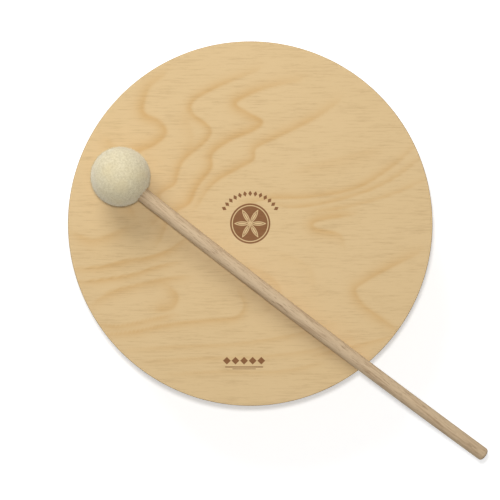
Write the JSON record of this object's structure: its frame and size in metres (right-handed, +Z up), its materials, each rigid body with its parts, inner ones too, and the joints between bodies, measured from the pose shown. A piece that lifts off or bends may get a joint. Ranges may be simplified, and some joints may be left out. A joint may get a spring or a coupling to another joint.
{
  "type": "wooden tom-tom",
  "caption": "Round plywood-headed tom on a bent, laminated shell open underneath, with a loose felt-headed mallet lying across the playing face.",
  "frame": {"origin": "centre of the playing face", "axes": "+Z straight up out of the playing face, the open rim below; +Y away from the player, the mallet's head towards -X and its stick crossing the rim towards +X and -Y"},
  "size_m": [0.288, 0.2871, 0.1048],
  "materials": {
    "birch_face": "clear satin on rotary-cut birch",
    "birch_core": "bare birch, seen at the board's edge",
    "birch_back": "sanded birch",
    "shell_outside": "clear satin on bent birch",
    "shell_core": "bare birch, seen at the rim",
    "shell_inside": "sanded birch",
    "mallet_wood": "sanded, unvarnished beech",
    "mallet_felt": "cream wool felt with a soft nap"
  },
  "bodies": {
    "drum": {"head_face_veneer": "birch_face", "head_core_veneer": "birch_core", "head_back_veneer": "birch_back", "shell_outer_ply": "shell_outside", "shell_core_ply": "shell_core", "shell_inner_ply": "shell_inside"},
    "mallet": {"mallet_stick": "mallet_wood", "mallet_core": "mallet_wood", "mallet_felt_cover": "mallet_felt"}
  },
  "joints": [
    {"name": "mallet_lift", "type": "slide", "parent": "drum", "child": "mallet", "axis": [0, 0, 1], "range_m": [0, 0.12]}
  ]
}
